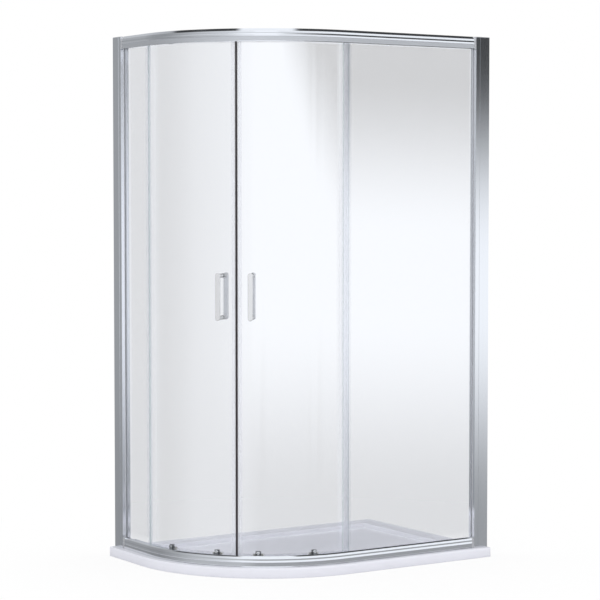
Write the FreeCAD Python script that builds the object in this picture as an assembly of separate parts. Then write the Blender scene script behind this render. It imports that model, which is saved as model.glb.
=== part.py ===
import FreeCAD, Part
import math
import os
from FreeCAD import Vector

# Offset quadrant shower enclosure, in millimetres.
# The origin is the centre of the tray's underside: +Z is up, +X runs along the long side,
# and +Y points at the back wall. The second wall is the plane at the tray's +X end.
# The left side is the short one. The right side is the mirror image of the left one about
# the diagonal through the arc's centre, with a longer straight.

# ---- driving dimensions ------------------------------------------------------------------
tray_length = 1200.0
tray_depth = 800.0
tray_height = 35.0
tray_radius = 550.0
tray_corner_radius = 6.0
tray_edge_round = 3.0
rim_width = 80.0
rim_slope_width = 14.0
basin_depth = 15.0

frame_height = 1915.0
frame_inset = 25.0
contact_gap = 0.1
side_clearance = 0.3

# Rails: heights, wall thicknesses and the stepped front, which both rails share.
top_rail_height = 46.0
bottom_rail_height = 40.0
web = 2.0
lip = 1.9
rail_foot = 2.0
face_step = 1.0
face_top = 17.5
ridge_height = 6.0
ridge_lean = 2.4
groove_height = 4.5
upper_ridge_set = 0.6
upper_ridge_lean = 3.2
shoulder_start = 37.0
top_shoulder_depth = 11.0
bottom_shoulder_depth = 6.5
front_cell_depth = 4.6
front_cell_width = 5.9

# Glazing slot and glass, as depths behind the front of the rails.
slot_front = 12.5
slot_width = 11.0
top_slot_drop = 8.0
bottom_slot_floor = 10.0
glass = 6.0
glass_gap = 10.0
glass_in_top_rail = 36.0
glass_in_bottom_rail = 14.0
glass_in_post = 12.0

# Tracks of the doors.
ledge_height = 22.0
ledge_depth = 17.2
ledge_lip = 1.2
ledge_lip_height = 3.0
deck_height = 26.0
upstand = 1.3
upstand_height = 4.0
groove_outer_play = 2.2
groove_inner_play = 6.1

# Doors.
door_overlap = 4.6
door_top_in_rail = 19.0
door_bottom_gap = 8.0
lead_roller = 9.0
trail_roller = 33.0
door_swing = 20.0
pivot_shift = 20.0

# Rollers.
roller_diameter = 16.0
roller_width = 5.0
roller_pin = 4.0
top_pin = 5.0
running_clearance = 0.05
track_gap = 0.3
twin_spacing = 26.0
bottom_roller_depth = 7.0
release_travel = 7.0

# Posts.
wall_profile_width = 43.0
post_width = 61.0
post_depth = 34.0
profile_wall = 2.0
nose_set = 0.6
inner_profile_reach = 15.0
slot_depth = 14.0
cap_thickness = 2.0
cap_plug = 10.0
connector_length = 10.0
connector_plug = 18.0
wall_hole_diameter = 5.2
wall_hole_count = 3
wall_hole_spacing = 790.0
screw_diameter = 3.6
screw_head_diameter = 7.4
screw_head = 2.3
frame_screw_spacing = 775.0
frame_screw_length = 8.0
rail_screw_length = 13.0
rail_screw_spacing = 14.0

# Seals.
seal_wall = 1.1
seal_nose = 2.5
seal_leg = 14.0
fin = 0.8
fin_gap = 0.6
panel_seal_leg = 18.0
magnet_width = 3.2
magnet_overhang = 1.4
magnet_gap = 0.2
magnet_seal_leg = 13.0
wipe_leg = 7.0
wipe_gap = 0.4

# Handles.
handle_angle = 6.4
handle_height = 170.0
handle_width = 18.0
handle_thickness = 8.0
handle_spacing = 150.0
handle_post_diameter = 16.0
handle_standoff = 35.0
handle_mid_height = 1001.0
handle_round = 2.0
stud_diameter = 6.0
stud_depth = 18.0
stud_hole_diameter = 10.0

# Waste.
waste_from_centre = 330.0
waste_hole_diameter = 90.0
waste_bore_diameter = 82.0
waste_recess_diameter = 92.0
waste_tube_gap = 1.0
waste_flange_diameter = 113.0
waste_flange = 3.0
waste_seat = 14.0
waste_dish_diameter = 180.0
waste_cover_diameter = 106.0
waste_cover = 2.5
waste_cover_rise = 2.5

# ---- sizes worked out from the driving ones ----------------------------------------------
LEFT = "left"
RIGHT = "right"
UP = Vector(0, 0, 1)
origin = Vector(0, 0, 0)
straight = {LEFT: tray_depth - tray_radius, RIGHT: tray_length - tray_radius}
arc_centre = Vector(-tray_length / 2 + tray_radius, -tray_depth / 2 + tray_radius, 0)
face_radius = tray_radius - frame_inset
total_height = tray_height + frame_height
top_rail_base = total_height - top_rail_height
profile_top = total_height - cap_thickness
slot_back = slot_front + slot_width
lip_back = slot_back + lip
fixed_front = slot_front + (slot_width - glass) / 2
fixed_back = fixed_front + glass
door_front = fixed_back + glass_gap
door_back = door_front + glass
door_mid = (door_front + door_back) / 2
door_outer_radius = face_radius - door_front
door_inner_radius = face_radius - door_back
door_mid_radius = face_radius - door_mid
bottom_roller_mid = door_back + bottom_roller_depth
groove_front = bottom_roller_mid - roller_width / 2 - groove_outer_play
groove_back = bottom_roller_mid + roller_width / 2 + groove_inner_play
bottom_rail_depth = groove_back + upstand
ledge_back = lip_back + ledge_depth
door_top = top_rail_base + door_top_in_rail
deck_z = tray_height + deck_height
door_bottom = deck_z + door_bottom_gap
waste_recess_floor = waste_seat + waste_flange / 2
bottom_roller_z = deck_z + track_gap + roller_diameter / 2
top_roller_z = top_rail_base + ledge_height + web + track_gap + roller_diameter / 2
meeting_angle = 225.0
mid_roller = (lead_roller + trail_roller) / 2
door_lead_edge = math.degrees((magnet_gap + magnet_width + seal_nose + contact_gap) / door_mid_radius)
door_trail_edge = 45.0 + door_overlap
glass_clearance = contact_gap


def mm_angle(length):
    """The angle that a length takes up along the door glass."""
    return math.degrees(length / door_mid_radius)


# ---- placing ------------------------------------------------------------------------------
def on_side(shape, side):
    """Everything is drawn for the left side; the right one is its mirror image."""
    if side == RIGHT:
        return shape.mirror(arc_centre, Vector(1, -1, 0))
    return shape


def side_box(run, depths, along, heights):
    """A box on the left straight: depth behind the frame's face, distance past the arc, height.

    run is the length of the straight; negative distances count back from the wall."""
    near, far = [a if a >= 0 else run + a for a in along]
    corner = Vector(arc_centre.x - face_radius + depths[0], arc_centre.y + near, heights[0])
    return Part.makeBox(depths[1] - depths[0], far - near, heights[1] - heights[0], corner)


def at_station(shape, away):
    """Carries a shape drawn at radius along +X to its angle away from the doors' meeting line."""
    placed = shape.copy()
    placed.rotate(origin, UP, meeting_angle - away)
    placed.translate(arc_centre)
    return placed


def block(depths, half_width, heights):
    """A block at a station: depth behind the frame's face, half its width, height."""
    length = depths[1] - depths[0]
    corner = Vector(face_radius - depths[1], -half_width, heights[0])
    return Part.makeBox(length, 2 * half_width, heights[1] - heights[0], corner)


def radial_rod(diameter, depths, height, offset=0.0):
    """A round bar pointing at the arc's centre, between two depths behind the frame's face."""
    start = Vector(face_radius - depths[1], offset, height)
    return Part.makeCylinder(diameter / 2, depths[1] - depths[0], start, Vector(1, 0, 0))


def arc_band(depths, away, heights):
    """A curved bar concentric with the doors, between two angles away from the meeting line."""
    inner = face_radius - depths[1]
    outer = face_radius - depths[0]
    corners = [Vector(inner, 0, heights[0]), Vector(outer, 0, heights[0])]
    corners += [Vector(outer, 0, heights[1]), Vector(inner, 0, heights[1])]
    section = Part.Face(Part.makePolygon(corners + corners[:1]))
    return at_station(section.revolve(origin, UP, away[1] - away[0]), away[1])


def group(shapes):
    """Several separate solids that share one node."""
    return Part.makeCompound(shapes)


def cut(body, *tools):
    for tool in tools:
        body = body.cut(tool)
    return body


def joined(first, *others):
    return first.fuse(list(others)).removeSplitter()


# ---- tray ---------------------------------------------------------------------------------
def tray_outline(inset, height):
    """The tray's plan, stepped in by inset: a rectangle with one large rounded corner."""
    x_low, x_high = -tray_length / 2 + inset, tray_length / 2 - inset
    y_low, y_high = -tray_depth / 2 + inset, tray_depth / 2 - inset
    big = tray_radius - inset
    small = tray_corner_radius
    bends = [(x_low, y_low, big, 180), (x_high, y_low, small, 270)]
    bends += [(x_high, y_high, small, 0), (x_low, y_high, small, 90)]
    arcs = []
    for x, y, radius, start in bends:
        centre = Vector(x + radius if x < 0 else x - radius, y + radius if y < 0 else y - radius, height)
        points = []
        for turn in (0, 45, 90):
            angle = math.radians(start + turn)
            points.append(centre + Vector(radius * math.cos(angle), radius * math.sin(angle), 0))
        arcs.append(points)
    edges = []
    for number, points in enumerate(arcs):
        edges.append(Part.Arc(*points).toShape())
        edges.append(Part.LineSegment(points[2], arcs[(number + 1) % len(arcs)][0]).toShape())
    return Part.Wire(edges)


def waste_centre(height):
    angle = math.radians(meeting_angle)
    reach = Vector(waste_from_centre * math.cos(angle), waste_from_centre * math.sin(angle), height)
    return arc_centre + reach


def shower_tray():
    slab = Part.Face(tray_outline(0, 0)).extrude(Vector(0, 0, tray_height))
    top_edges = [e for e in slab.Edges if min(v.Z for v in e.Vertexes) > tray_height - contact_gap]
    slab = slab.makeFillet(tray_edge_round, top_edges)
    floor = tray_height - basin_depth
    wires = [tray_outline(rim_width + rim_slope_width, floor), tray_outline(rim_width, tray_height)]
    basin = Part.makeLoft(wires, True, True)
    dish_top = waste_dish_diameter / 2
    seat_top = waste_seat + waste_flange
    flange = waste_flange_diameter / 2 + side_clearance
    dish = Part.makeCone(flange, dish_top, floor - seat_top, waste_centre(seat_top))
    seat = Part.makeCylinder(flange, waste_flange, waste_centre(waste_seat))
    hole = Part.makeCylinder(waste_hole_diameter / 2, waste_seat, waste_centre(0))
    return cut(slab, basin, dish, seat, hole)


def waste_flange_ring():
    tube_outer = waste_hole_diameter / 2 - 1.0
    bore = waste_bore_diameter / 2
    ring = Part.makeCylinder(waste_flange_diameter / 2, waste_flange, waste_centre(waste_seat))
    tube = Part.makeCylinder(tube_outer, waste_seat - waste_tube_gap, waste_centre(waste_tube_gap))
    hub_bore = Part.makeCylinder(waste_recess_diameter / 2, waste_flange, waste_centre(waste_recess_floor))
    return cut(joined(ring, tube), Part.makeCylinder(bore, total_height, waste_centre(0)), hub_bore)


def waste_cover_disc():
    seat_top = waste_seat + waste_flange
    under = seat_top + waste_cover_rise
    disc = Part.makeCylinder(waste_cover_diameter / 2, waste_cover, waste_centre(under))
    disc = disc.makeFillet(waste_cover / 2, [disc.Edges[0]])
    hub_outer = waste_recess_diameter / 2 - side_clearance
    hub_foot = waste_recess_floor + side_clearance
    hub = Part.makeCylinder(hub_outer, under - hub_foot, waste_centre(hub_foot))
    hub = hub.cut(Part.makeCylinder(hub_outer - web, under - hub_foot, waste_centre(hub_foot)))
    feet = []
    for turn in range(0, 360, 90):
        foot = Part.makeBox(6.0, 8.0, waste_cover_rise, Vector(hub_outer - 1.0, -4.0, seat_top))
        window = Part.makeBox(hub_outer, 30.0, total_height, Vector(8.0, -15.0, under - total_height))
        foot.rotate(origin, UP, turn)
        window.rotate(origin, UP, turn + 45.0)
        foot.translate(waste_centre(0))
        window.translate(waste_centre(0))
        feet.append(foot)
        hub = hub.cut(window)
    return joined(disc, hub, *feet)


# ---- rails --------------------------------------------------------------------------------
def front_points(height, shoulder_depth):
    """The rail's stepped front from its foot to its top, as depth and height."""
    ridge_start = face_top + face_step
    ridge_end = ridge_start + ridge_height
    groove_end = ridge_end + groove_height
    points = [(0, 0), (0, rail_foot), (face_step, rail_foot + face_step), (face_step, face_top)]
    points += [(0, ridge_start), (ridge_lean, ridge_end), (ridge_lean, groove_end)]
    points += [(upper_ridge_set, groove_end + face_step), (upper_ridge_lean, shoulder_start)]
    points += [(shoulder_depth, height)]
    return points


def top_rail_points():
    height = top_rail_height
    points = front_points(height, top_shoulder_depth)
    points += [(bottom_rail_depth, height), (bottom_rail_depth, height - web), (lip_back, height - web)]
    points += [(lip_back, ledge_height + web), (ledge_back - ledge_lip, ledge_height + web)]
    points += [(ledge_back - ledge_lip, ledge_height + web + ledge_lip_height)]
    points += [(ledge_back, ledge_height + web + ledge_lip_height), (ledge_back, ledge_height)]
    points += [(lip_back, ledge_height), (lip_back, top_slot_drop), (slot_back, top_slot_drop)]
    points += [(slot_back, height - web), (slot_front, height - web), (slot_front, top_slot_drop)]
    points += [(face_step + web, top_slot_drop), (face_step + web, 0)]
    return points


def bottom_rail_points():
    height = bottom_rail_height
    upstand_top = deck_height + upstand_height
    points = front_points(height, bottom_shoulder_depth)
    points += [(slot_front, height), (slot_front, bottom_slot_floor), (slot_back, bottom_slot_floor)]
    points += [(slot_back, height - web), (lip_back, height - web), (lip_back, deck_height)]
    points += [(groove_front - upstand, deck_height), (groove_front - upstand, upstand_top)]
    points += [(groove_front, upstand_top), (groove_front, deck_height), (groove_back, deck_height)]
    points += [(groove_back, upstand_top), (bottom_rail_depth, upstand_top), (bottom_rail_depth, 0)]
    return points


def front_cell(low, high):
    """The hollow behind the rail's front, between two heights, with its leaning top corner."""
    back = front_cell_depth + front_cell_width
    lean = (shoulder_start - upper_ridge_lean, upper_ridge_lean)
    points = [(front_cell_depth, low), (back, low), (back, high)]
    points += [(front_cell_depth + web, high), (front_cell_depth, min(high, lean[0]))]
    return points


def rail_section(points, base):
    """The rail's section as a face at the left end of the arc."""
    corners = [Vector(arc_centre.x - face_radius + d, arc_centre.y, base + h) for d, h in points]
    return Part.Face(Part.makePolygon(corners + corners[:1]))


def swept_rail(points, base, end_gap):
    """Straight, quarter arc and straight, stopping short of the two walls by end_gap."""
    section = rail_section(points, base)
    short_run = section.extrude(Vector(0, straight[LEFT] - end_gap, 0))
    bend = section.revolve(arc_centre, UP, 90.0)
    turned = section.copy()
    turned.rotate(arc_centre, UP, 90.0)
    long_run = turned.extrude(Vector(straight[RIGHT] - end_gap, 0, 0))
    return joined(short_run, bend, long_run)


rail_end_gap = post_width + connector_length


def rail_screw_heights(base):
    first = face_top - rail_screw_spacing / 4
    return [base + first, base + first + rail_screw_spacing]


def top_rail():
    cell = front_cell(top_slot_drop + web, top_rail_height - 2 * web - face_step)
    rail = swept_rail(top_rail_points(), top_rail_base, rail_end_gap)
    return rail.cut(swept_rail(cell, top_rail_base, rail_end_gap))


def bottom_rail():
    top = bottom_rail_height - web - face_step
    under_slot = [(slot_front, web), (slot_back, web)]
    under_slot += [(slot_back, bottom_slot_floor - web), (slot_front, bottom_slot_floor - web)]
    under_deck = [(lip_back, web), (bottom_rail_depth - lip, web)]
    under_deck += [(bottom_rail_depth - lip, deck_height - web), (lip_back, deck_height - web)]
    rail = swept_rail(bottom_rail_points(), tray_height, rail_end_gap)
    for cell in (front_cell(web, top), under_slot, under_deck):
        rail = rail.cut(swept_rail(cell, tray_height, rail_end_gap))
    return rail


def rail_connector(side, points, base, plug_heights):
    """The end block between a rail and its post, with a plug in the rail's front hollow."""
    run = straight[side]
    start = run - post_width - connector_length
    section = rail_section(points, base)
    section.translate(Vector(0, start, 0))
    end_block = section.extrude(Vector(0, connector_length - contact_gap, 0))
    depths = (front_cell_depth + side_clearance, front_cell_depth + front_cell_width - side_clearance)
    heights = (base + plug_heights[0] + side_clearance, base + plug_heights[1] - side_clearance)
    plug = side_box(run, depths, (start - connector_plug, start), heights)
    block_with_plug = joined(end_block, plug)
    for height in rail_screw_heights(base):
        block_with_plug = block_with_plug.cut(rail_screw_rod(run, screw_diameter + 2 * running_clearance, height,
                                                             (post_width - web, rail_screw_length)))
    return on_side(block_with_plug, side)


def rail_screw_rod(run, diameter, height, reach):
    """A round bar along the straight, from a distance before the wall and running towards the rail."""
    depth = front_cell_depth + front_cell_width / 2 - face_step
    start = Vector(arc_centre.x - face_radius + depth, arc_centre.y + run - reach[0], height)
    return Part.makeCylinder(diameter / 2, reach[1], start, Vector(0, -1, 0))


def rail_connectors():
    top_plug = (top_slot_drop + web, shoulder_start - web)
    bottom_plug = (web, shoulder_start - 2 * web)
    shapes = []
    for side in (LEFT, RIGHT):
        shapes.append(rail_connector(side, top_rail_points(), top_rail_base, top_plug))
        shapes.append(rail_connector(side, bottom_rail_points(), tray_height, bottom_plug))
    return group(shapes)


# ---- posts --------------------------------------------------------------------------------
def plan_prism(run, points, heights):
    """A prism on the left straight, from points given as depth and distance from the wall."""
    corners = []
    for depth, from_wall in points:
        corners.append(Vector(arc_centre.x - face_radius + depth, arc_centre.y + run - from_wall, heights[0]))
    return Part.Face(Part.makePolygon(corners + corners[:1])).extrude(Vector(0, 0, heights[1] - heights[0]))


def wall_hole_heights():
    middle = tray_height + frame_height / 2
    first = middle - wall_hole_spacing * (wall_hole_count - 1) / 2
    return [first + wall_hole_spacing * number for number in range(wall_hole_count)]


def frame_screw_heights():
    middle = tray_height + frame_height / 2
    return [middle - frame_screw_spacing, middle, middle + frame_screw_spacing]


def cross_screw(run, diameter, depths, height):
    """A round bar across the post's depth, at the middle of the wall profile's flange."""
    start = Vector(arc_centre.x - face_radius + depths[0], arc_centre.y + run - frame_screw_from_wall, height)
    return Part.makeCylinder(diameter / 2, depths[1] - depths[0], start, Vector(1, 0, 0))


frame_screw_from_wall = (wall_profile_width + inner_profile_reach) / 2


def wall_profile(side):
    """The channel that is screwed to the wall."""
    run = straight[side]
    inner = post_depth - profile_wall
    points = [(0, 0), (0, wall_profile_width), (profile_wall, wall_profile_width)]
    points += [(profile_wall, profile_wall), (inner, profile_wall), (inner, wall_profile_width)]
    points += [(post_depth, wall_profile_width), (post_depth, 0)]
    channel = plan_prism(run, points, (tray_height, profile_top))
    for height in wall_hole_heights():
        start = Vector(arc_centre.x - face_radius + post_depth / 2, arc_centre.y + run, height)
        channel = channel.cut(Part.makeCylinder(wall_hole_diameter / 2, profile_wall, start, Vector(0, -1, 0)))
    for height in frame_screw_heights():
        clear = screw_diameter + 4 * running_clearance
        channel = channel.cut(cross_screw(run, clear, (inner - contact_gap, post_depth), height))
    return on_side(channel, side)


def side_profile(side):
    """The profile that slides in the wall profile and holds the fixed glass."""
    run = straight[side]
    slip = profile_wall + side_clearance
    shoulder = wall_profile_width + side_clearance
    slot_end = post_width - slot_depth
    far = post_depth - nose_set
    points = [(slip, inner_profile_reach), (slip, shoulder), (nose_set, shoulder), (nose_set, post_width)]
    points += [(slot_front, post_width), (slot_front, slot_end), (slot_back, slot_end)]
    points += [(slot_back, post_width), (far, post_width), (far, shoulder)]
    points += [(post_depth - slip, shoulder), (post_depth - slip, inner_profile_reach)]
    profile = plan_prism(run, points, (tray_height, profile_top))
    wall = profile_wall
    inner_depths = (slip + wall, post_depth - slip - wall)
    back_cell = [(inner_depths[0], inner_profile_reach + wall), (inner_depths[0], slot_end - wall)]
    back_cell += [(inner_depths[1], slot_end - wall), (inner_depths[1], inner_profile_reach + wall)]
    cells = [back_cell]
    for depths in ((nose_set + wall, slot_front - wall), (slot_back + wall, far - wall)):
        near, end = shoulder + wall, post_width - wall
        cells.append([(depths[0], near), (depths[0], end), (depths[1], end), (depths[1], near)])
    for cell in cells:
        profile = profile.cut(plan_prism(run, cell, (tray_height, profile_top)))
    for height in frame_screw_heights():
        pilot = cross_screw(run, screw_diameter + 2 * running_clearance, (inner_depths[1], post_depth), height)
        profile = profile.cut(pilot)
    for base in (tray_height, top_rail_base):
        for height in rail_screw_heights(base):
            hole = rail_screw_rod(run, screw_diameter + 2 * running_clearance, height, (post_width - wall, wall))
            profile = profile.cut(hole)
    return on_side(profile, side)


def profile_caps():
    shapes = []
    slip = profile_wall + side_clearance
    shoulder = wall_profile_width
    far = post_depth - nose_set
    outline = [(0, 0), (0, shoulder), (nose_set, shoulder), (nose_set, post_width), (far, post_width)]
    outline += [(far, shoulder), (post_depth, shoulder), (post_depth, 0)]
    inner = slip + profile_wall + side_clearance
    plug_near = inner_profile_reach + profile_wall + side_clearance
    plug_far = post_width - slot_depth - profile_wall - side_clearance
    plug = [(inner, plug_near), (inner, plug_far), (post_depth - inner, plug_far), (post_depth - inner, plug_near)]
    for side in (LEFT, RIGHT):
        run = straight[side]
        plate = plan_prism(run, outline, (profile_top, total_height))
        stopper = plan_prism(run, plug, (profile_top - cap_plug, profile_top))
        shapes.append(on_side(joined(plate, stopper), side))
    return group(shapes)


def frame_screws():
    """Pan-head screws: post to wall channel, and post to rail connectors."""
    shapes = []
    for side in (LEFT, RIGHT):
        run = straight[side]
        for height in frame_screw_heights():
            shank = cross_screw(run, screw_diameter, (post_depth - frame_screw_length, post_depth), height)
            head = cross_screw(run, screw_head_diameter, (post_depth, post_depth + screw_head), height)
            head = head.makeFillet(screw_head / 2, [head.Edges[0]])
            shapes.append(on_side(joined(shank, head), side))
        for base in (tray_height, top_rail_base):
            for height in rail_screw_heights(base):
                head_start = post_width - profile_wall - screw_head
                head = rail_screw_rod(run, screw_head_diameter, height, (head_start, screw_head))
                shank = rail_screw_rod(run, screw_diameter, height, (post_width - profile_wall, rail_screw_length - 1.0))
                shapes.append(on_side(joined(head, shank), side))
    return group(shapes)


# ---- fixed panels -------------------------------------------------------------------------
panel_free_edge = 3.0


def fixed_glass(side):
    run = straight[side]
    heights = (tray_height + glass_in_bottom_rail, top_rail_base + glass_in_top_rail)
    pane = side_box(run, (fixed_front, fixed_back), (panel_free_edge, glass_in_post - post_width), heights)
    return on_side(pane, side)


def channel_shape(outer, inner):
    """A seal's channel: the outer shape less the room for the glass."""
    return outer.cut(inner)


def glazing_gaskets():
    """Channel gaskets round each fixed pane: in the post, in the top rail and in the bottom rail."""
    shapes = []
    glass_bottom = tray_height + glass_in_bottom_rail
    glass_top = top_rail_base + glass_in_top_rail
    depths = (slot_front + contact_gap, slot_back - contact_gap)
    room = (fixed_front - contact_gap, fixed_back + contact_gap)
    for side in (LEFT, RIGHT):
        run = straight[side]
        post_heights = (tray_height + bottom_rail_height, top_rail_base + top_slot_drop)
        glass_end = glass_in_post - post_width
        slot_end = slot_depth - post_width
        upright = side_box(run, depths, (-post_width + contact_gap, slot_end - contact_gap), post_heights)
        pane = side_box(run, room, (panel_free_edge, glass_end + contact_gap), (0, total_height))
        shapes.append(on_side(channel_shape(upright, pane), side))
        along = (panel_free_edge, -post_width)
        low = side_box(run, depths, along, (tray_height + bottom_slot_floor, tray_height + bottom_rail_height - web))
        low_room = side_box(run, room, (0, -1), (glass_bottom - contact_gap, glass_top))
        shapes.append(on_side(channel_shape(low, low_room), side))
        high = side_box(run, depths, along, (top_rail_base + top_slot_drop, top_rail_base + top_rail_height - web))
        high_room = side_box(run, room, (0, -1), (glass_bottom, glass_top + contact_gap))
        shapes.append(on_side(channel_shape(high, high_room), side))
    return group(shapes)


def panel_edge_seal(side):
    """Clear channel on the pane's free edge, with a fin reaching for the door."""
    run = straight[side]
    heights = (tray_height + bottom_rail_height + side_clearance, top_rail_base - side_clearance)
    room = (fixed_front - contact_gap, fixed_back + contact_gap)
    outer = (room[0] - seal_wall, room[1] + seal_wall)
    nose = panel_free_edge - seal_nose
    clip = side_box(run, outer, (nose, panel_seal_leg), heights)
    clip = clip.cut(side_box(run, room, (panel_free_edge - contact_gap, panel_seal_leg), heights))
    fin_heights = (door_bottom + screw_margin, top_rail_base - 2 * web)
    outward_drift = pivot_shift * (1 - math.cos(math.radians(door_swing + 45.0 - mid_roller)))
    fin_tip = door_front - fin_gap - outward_drift
    reach = side_box(run, (outer[1], fin_tip), (nose, nose + fin), fin_heights)
    return on_side(joined(clip, reach), side)


# ---- doors --------------------------------------------------------------------------------
screw_height = door_bottom + 11.0
screw_margin = 23.0
glass_screw_diameter = 4.0
glass_hole_diameter = 6.0
glass_screw_head_diameter = 14.0
glass_screw_head = 2.4
top_screw_height = top_rail_base + 9.5
stations = {"lead": lead_roller, "trail": trail_roller}


def door_pivot(side):
    """The upright axis that a door swings about, a little past the arc's centre.

    The shift lets one turn follow the arc and then the straight within the play of the tracks."""
    angle = math.radians(meeting_angle - mid_roller)
    pivot = arc_centre - Vector(pivot_shift * math.cos(angle), pivot_shift * math.sin(angle), 0)
    if side == RIGHT:
        offset = pivot - arc_centre
        pivot = arc_centre + Vector(offset.y, offset.x, 0)
    return pivot


def door_glass(side):
    pane = arc_band((door_front, door_back), (door_lead_edge, door_trail_edge), (door_bottom, door_top))
    through = (door_front - glass, door_back + glass)
    for away in stations.values():
        for height in (screw_height, top_screw_height):
            pane = pane.cut(at_station(radial_rod(glass_hole_diameter, through, height), away))
    for height in handle_post_heights():
        pane = pane.cut(at_station(radial_rod(stud_hole_diameter, through, height), handle_angle))
    return on_side(pane, side)


seal_heights = (door_bottom + 3.0, door_top - 1.0)


def edge_clip(edge, direction, leg, heights):
    """A clear channel on one upright edge of a door; direction is +1 where the glass lies ahead."""
    room = (door_front - contact_gap, door_back + contact_gap)
    outer = (room[0] - seal_wall, room[1] + seal_wall)
    bounds = sorted([edge - direction * mm_angle(seal_nose), edge + direction * mm_angle(leg)])
    hollow = sorted([edge - direction * mm_angle(contact_gap), edge + direction * mm_angle(leg + 1.0)])
    return arc_band(outer, bounds, heights).cut(arc_band(room, hollow, (0, total_height)))


def magnet_profile(side):
    return on_side(edge_clip(door_lead_edge, 1, magnet_seal_leg, seal_heights), side)


def magnet_strip(side):
    depths = (door_front - magnet_overhang, door_back + magnet_overhang)
    away = (mm_angle(magnet_gap), mm_angle(magnet_gap + magnet_width))
    return on_side(arc_band(depths, away, seal_heights), side)


def trailing_seal(side):
    clip = edge_clip(door_trail_edge, -1, seal_leg, seal_heights)
    outer_face = door_front - contact_gap - seal_wall
    tip = door_trail_edge + mm_angle(seal_nose)
    fin_heights = (seal_heights[0] + screw_margin, top_rail_base - 2 * web)
    reach = arc_band((fixed_back + 2 * seal_wall, outer_face), (tip - mm_angle(fin), tip), fin_heights)
    return on_side(joined(clip, reach), side)


def wipe_seal(side):
    """The sweep under the door, cut away round the rollers."""
    room = (door_front - contact_gap, door_back + contact_gap)
    outer = (room[0] - seal_wall, room[1] + seal_wall)
    clear = mm_angle(twin_spacing / 2 + roller_diameter / 2)
    first = door_lead_edge + mm_angle(magnet_seal_leg + 1.0)
    last = door_trail_edge - mm_angle(seal_leg + 1.0)
    spans = [(first, lead_roller - clear), (lead_roller + clear, trail_roller - clear), (trail_roller + clear, last)]
    base = door_bottom - contact_gap - seal_wall
    tip = deck_z + upstand_height + wipe_gap
    pieces = []
    for span in spans:
        clip = arc_band(outer, span, (base, door_bottom + wipe_leg))
        clip = clip.cut(arc_band(room, (span[0] - 1.0, span[1] + 1.0), (door_bottom - contact_gap, total_height)))
        sweep = arc_band((door_mid - fin / 2, door_mid + fin / 2), span, (tip, base))
        pieces.append(on_side(joined(clip, sweep), side))
    return group(pieces)


# ---- handles ------------------------------------------------------------------------------
def handle_post_heights():
    return [handle_mid_height - handle_spacing / 2, handle_mid_height + handle_spacing / 2]


def handle_bar(depths):
    """An upright flat bar with round ends."""
    half = handle_width / 2
    reach = handle_height / 2 - half
    bar = block(depths, half, (handle_mid_height - reach, handle_mid_height + reach))
    ends = [radial_rod(handle_width, depths, handle_mid_height + offset) for offset in (-reach, reach)]
    bar = joined(bar, *ends)
    return bar.makeFillet(handle_round, [e for e in bar.Edges if is_rim(e, depths)])


def is_rim(edge, depths):
    """True for an edge that lies in the bar's front or back face."""
    places = [v.X for v in edge.Vertexes]
    return all(min(abs(p - face_radius + d) for d in depths) < contact_gap for p in places) and (
        max(places) - min(places) < contact_gap)


def handle(side, bar_depths, post_depths, stud_depths):
    shape = handle_bar(bar_depths)
    for height in handle_post_heights():
        shape = joined(shape, radial_rod(handle_post_diameter, post_depths, height))
    for height in handle_post_heights():
        shape = shape.cut(radial_rod(stud_diameter + 2 * running_clearance, stud_depths, height))
    return on_side(at_station(shape, handle_angle), side)


def handle_outer(side):
    face = door_front - glass_clearance
    bar_back = face - handle_standoff
    return handle(side, (bar_back - handle_thickness, bar_back), (bar_back, face), (face - stud_depth - 1.0, face))


def handle_inner(side):
    face = door_back + 3 * glass_clearance
    bar_front = face + handle_standoff
    return handle(side, (bar_front, bar_front + handle_thickness), (face, bar_front), (face, face + stud_depth + 1.0))


def handle_studs(side):
    """Threaded rods through the glass that draw the two handles together."""
    depths = (door_front - stud_depth, door_back + stud_depth)
    rods = [at_station(radial_rod(stud_diameter, depths, height), handle_angle) for height in handle_post_heights()]
    return on_side(group(rods), side)


# ---- top rollers --------------------------------------------------------------------------
top_wheel_depths = (door_mid - roller_width / 2, door_mid + roller_width / 2)
pad_depths = (door_back + 1.5 * contact_gap, ledge_back + 2.2)
hanger_plate = 2.5


def top_hangers(side):
    """Brackets on the door's inner face that reach up round the ledge and carry the wheel pins."""
    shapes = []
    plate_depths = (pad_depths[1], pad_depths[1] + hanger_plate)
    shoulder = top_pin + 3.0
    for away in stations.values():
        pad = block(pad_depths, 11.0, (top_rail_base + 3.0, top_rail_base + 16.0))
        plate = block(plate_depths, 10.0, (top_rail_base + 3.0, top_roller_z + 4.0))
        boss = radial_rod(shoulder, (top_wheel_depths[1] + 2 * contact_gap, plate_depths[0]), top_roller_z)
        pin = radial_rod(top_pin, (top_wheel_depths[0] - 2 * contact_gap, plate_depths[0]), top_roller_z)
        rivet = (top_wheel_depths[0] - 2 * contact_gap - 1.0, top_wheel_depths[0] - 2 * contact_gap)
        shape = joined(pad, plate, boss, pin, radial_rod(top_pin + 2.0, rivet, top_roller_z))
        hole = (door_back, glass_screw_end + contact_gap)
        shape = shape.cut(radial_rod(glass_screw_diameter + 2 * running_clearance, hole, top_screw_height))
        shapes.append(on_side(at_station(shape, away), side))
    return group(shapes)


def wheel(depths, height, pin, offset=0.0):
    """A nylon wheel with a rounded tread and a shallow recess in each face."""
    tyre = radial_rod(roller_diameter, depths, height, offset)
    tyre = tyre.makeFillet(0.8, [tyre.Edges[0], tyre.Edges[2]])
    bore = radial_rod(pin + 2 * running_clearance, depths, height, offset)
    dished = radial_rod(roller_diameter - 5.0, (depths[0], depths[0] + 0.7), height, offset)
    hub = radial_rod(pin + 3.0, (depths[0], depths[0] + 0.7), height, offset)
    return tyre.cut(dished.cut(hub)).cut(bore)


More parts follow.
